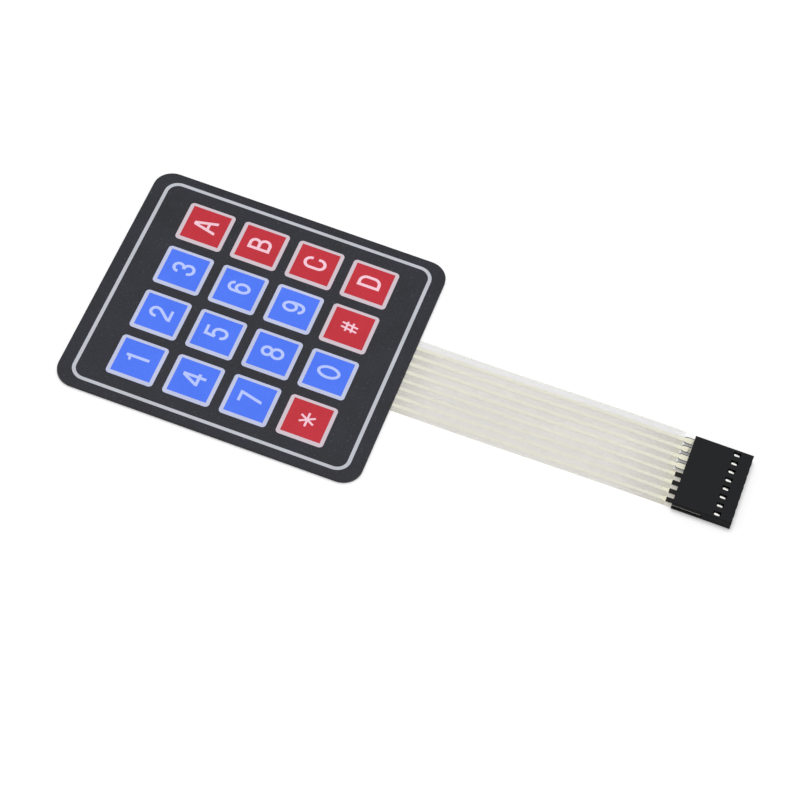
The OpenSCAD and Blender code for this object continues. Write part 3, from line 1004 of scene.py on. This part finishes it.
def ring(middle, width, centre, half_wide, half_tall):
    """A closed loop. The half sizes reach to the middle of the line."""
    bpy.ops.object.select_all(action="DESELECT")
    bpy.ops.mesh.primitive_circle_add(
        vertices=RING_POINTS, radius=1, fill_type="NGON", location=middle + Vector((*centre, 0)) * MM
    )
    loop = bpy.context.object
    loop.scale = ((half_wide + width / 2) * MM, (half_tall + width / 2) * MM, 1)
    bpy.ops.object.transform_apply(location=True, rotation=True, scale=True)
    bpy.ops.object.mode_set(mode="EDIT")
    bpy.ops.mesh.select_all(action="SELECT")
    bpy.ops.mesh.inset(thickness=width * MM, use_even_offset=True)
    bpy.ops.mesh.delete(type="FACE")
    bpy.ops.object.mode_set(mode="OBJECT")
    return give_ink(loop)


def join_strokes(name, strokes):
    """Joins the strokes of one figure into a single skin."""
    figure, *others = strokes
    bpy.ops.object.select_all(action="DESELECT")
    figure.select_set(True)
    bpy.context.view_layer.objects.active = figure
    for other in others:
        bpy.ops.object.modifier_add(type="BOOLEAN")
        union = figure.modifiers[-1]
        union.operation = "UNION"
        union.solver = "EXACT"
        union.object = other
        bpy.ops.object.modifier_apply(modifier=union.name)
    for other in others:
        bpy.data.objects.remove(other)
    bpy.ops.object.mode_set(mode="EDIT")
    bpy.ops.mesh.select_all(action="SELECT")
    bpy.ops.mesh.remove_doubles(threshold=SAME_PLACE)
    bpy.ops.mesh.normals_make_consistent(inside=False)
    bpy.ops.object.mode_set(mode="OBJECT")
    figure.name = figure.data.name = name
    return figure


print("a ring has", RING_POINTS, "points")


# %% [markdown]
# ## The figures
#
# Each figure is a short recipe of strokes around its own middle m, in millimetres. The figures are about
# 5.8 mm tall, so the middle of a top or bottom line lies 2.5 mm from the figure's middle. One pen draws
# nearly all of them. Stems are a touch wider, bars and the flag of the one are narrower.

# %% Recipes for the figures
PEN = 0.77
STEM = 0.79
BAR = 0.7
FLAG_PEN = 0.62
FLAT = 2.87
FULL = 2 * FLAT


def draw_1(m):
    return [
        stroke(m, STEM, (0.455, -FLAT), 90, FULL),
        stroke(m, FLAG_PEN, (-0.88, 1.8), 0, 0.315, (1.15, 65)),
    ]


def draw_2(m):
    return [
        stroke(m, PEN, (-1.15, 0.93), 95, 0.27, (1.225, -185), (1.75, -43), 3.15),
        stroke(m, BAR, (-1.63, -2.52), 0, 3.26),
    ]


def draw_3(m):
    return [
        stroke(m, PEN, (-1.2, 1.2), 90, 0.06, (1.2, -262), 0.3),
        stroke(m, PEN, (-0.15, 0.0), 0, 0.15, (1.295, -268), 0.22),
    ]


def draw_4(m):
    return [
        stroke(m, STEM, (0.755, -FLAT), 90, FULL),
        stroke(m, PEN, (-1.78, -1.1), 0, 3.56),
        stroke(m, PEN, (0.765, 3.085), 241.3, 4.7, reach=FLAT),
    ]


def draw_5(m):
    return [
        stroke(m, BAR, (-1.35, 2.52), 0, 2.87),
        stroke(m, PEN, (-0.94, 2.85), 265, 2.8),
        stroke(m, PEN, (-1.2, 0.1), 40, 0.5, (1.25, -130), 0.81, (1.25, -180), 0.1),
    ]


def draw_6(m):
    return [
        ring(m, PEN, (0.03, -1.0), 1.22, 1.6),
        stroke(m, PEN, (1.2, 1.3), 100, 0.15, (1.19, 170), 2.45),
    ]


def draw_7(m):
    return [
        stroke(m, BAR, (-1.505, 2.52), 0, 3.01),
        stroke(m, STEM, (1.185, 2.6), 255.8, 5.8, reach=FLAT),
    ]


def draw_8(m):
    return [ring(m, PEN, (-0.02, 1.34), 1.16, 1.15), ring(m, PEN, (-0.02, -1.22), 1.32, 1.39)]


def draw_9(m):
    return [
        ring(m, PEN, (-0.06, 0.95), 1.22, 1.56),
        stroke(m, PEN, (-1.17, -1.42), 280, 0.12, (1.15, 150), (3.2, 20), 1.5),
    ]


def draw_0(m):
    return [ring(m, PEN, (-0.02, -0.075), 1.5, 2.54)]


print("figures are about", FULL, "mm tall")


# %% [markdown]
# ## The letters and signs
#
# The letters use the same pen and lines as the figures. The star and the hash sign are drawn with finer
# pens.

# %% Recipes for the letters and signs
LINE = 2.485
FINE_PEN = 0.52
HASH_PEN = 0.49


def draw_a(m):
    return [
        stroke(m, PEN, (-1.66, -3.12), 75.6, 6.35, reach=FLAT),
        stroke(m, PEN, (1.68, -3.12), 104.4, 6.35, reach=FLAT),
        stroke(m, BAR, (-1.2, -0.79), 0, 2.4),
    ]


def draw_b(m):
    return [
        stroke(m, STEM, (-1.42, -FLAT), 90, FULL),
        stroke(m, PEN, (-1.4, LINE), 0, 1.4, (1.175, -180), 1.4),
        stroke(m, PEN, (-1.4, 0.165), 0, 1.53, (1.325, -180), 1.53),
    ]


def draw_c(m):
    return [stroke(m, PEN, (1.4, 0.85), 90, 0.21, (1.4, 180), 2.25, (1.4, 180), 0.58)]


def draw_d(m):
    return [
        stroke(m, STEM, (-1.385, -FLAT), 90, FULL),
        stroke(m, PEN, (-1.385, LINE), 0, 1.1, (1.62, -90), 1.73, (1.62, -90), 1.1),
    ]


def draw_star(m):
    return [
        stroke(m, FINE_PEN, (-2.0, 0), 0, 4.0),
        stroke(m, FINE_PEN, (-0.99, -1.785), 61, 4.08),
        stroke(m, FINE_PEN, (0.99, -1.785), 119, 4.08),
    ]


def draw_hash(m):
    return [
        stroke(m, HASH_PEN, (-0.97, -2.06), 81.8, 4.15),
        stroke(m, HASH_PEN, (0.28, -2.06), 81.8, 4.15),
        stroke(m, HASH_PEN, (-1.425, 0.72), 0, 2.85),
        stroke(m, HASH_PEN, (-1.425, -0.72), 0, 2.85),
    ]


print("letters have their lines", LINE, "mm from the middle")


# %% [markdown]
# ## Printing the legends
#
# Each figure goes on its own key, a touch to the right of the middle and a little up, as on the real
# print. A table gives each key its recipe and those two shifts. The ink is the silver of the frames. It
# takes a tint from the strong colour round it, so the figures on blue keys get a cooler shade than those
# on red ones.

# %% Draw every legend
LEGEND_SHEEN = 0.5
TEXT_UP = 0.16
RECIPES = {
    "1": (draw_1, 0.185, TEXT_UP), "2": (draw_2, 0.305, TEXT_UP), "3": (draw_3, 0.395, TEXT_UP),
    "4": (draw_4, 0.285, TEXT_UP), "5": (draw_5, 0.375, TEXT_UP), "6": (draw_6, 0.495, TEXT_UP),
    "7": (draw_7, 0.31, TEXT_UP), "8": (draw_8, 0.35, TEXT_UP), "9": (draw_9, 0.415, TEXT_UP),
    "0": (draw_0, 0.395, TEXT_UP), "a": (draw_a, 0.205, TEXT_UP), "b": (draw_b, 0.305, 0.11),
    "c": (draw_c, 0.375, TEXT_UP), "d": (draw_d, 0.495, TEXT_UP),
    "star": (draw_star, 0.14, 0.045), "hash": (draw_hash, 0.31, 0.085),
}
legend_on_blue = printed("legend_on_blue", seen(176, 192, 247), seen(186, 201, 255), LEGEND_SHEEN)
legend_on_red = printed("legend_on_red", seen(238, 194, 208), seen(248, 204, 218), LEGEND_SHEEN)

for legend, (draw, to_right, up) in RECIPES.items():
    key = "key_" + legend
    low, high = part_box(key)
    middle = (low + high) / 2 + Vector((to_right, up, 0)) * MM
    middle.z = FACE_Z - INK_BELOW
    figure = join_strokes("legend_" + legend, draw(middle))
    figure.data.materials.clear()
    figure.data.materials.append(legend_on_red if key in RED_KEYS else legend_on_blue)
    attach(figure, "root")
    print(figure.name, len(figure.data.polygons), "faces")


# %% [markdown]
# ## Last lines
#
# The legends lie inside the CAD model's box, so the whole object measures what it did. These last lines set
# the view.

# %% Set the view
bpy.context.scene.view_settings.view_transform = "Standard"
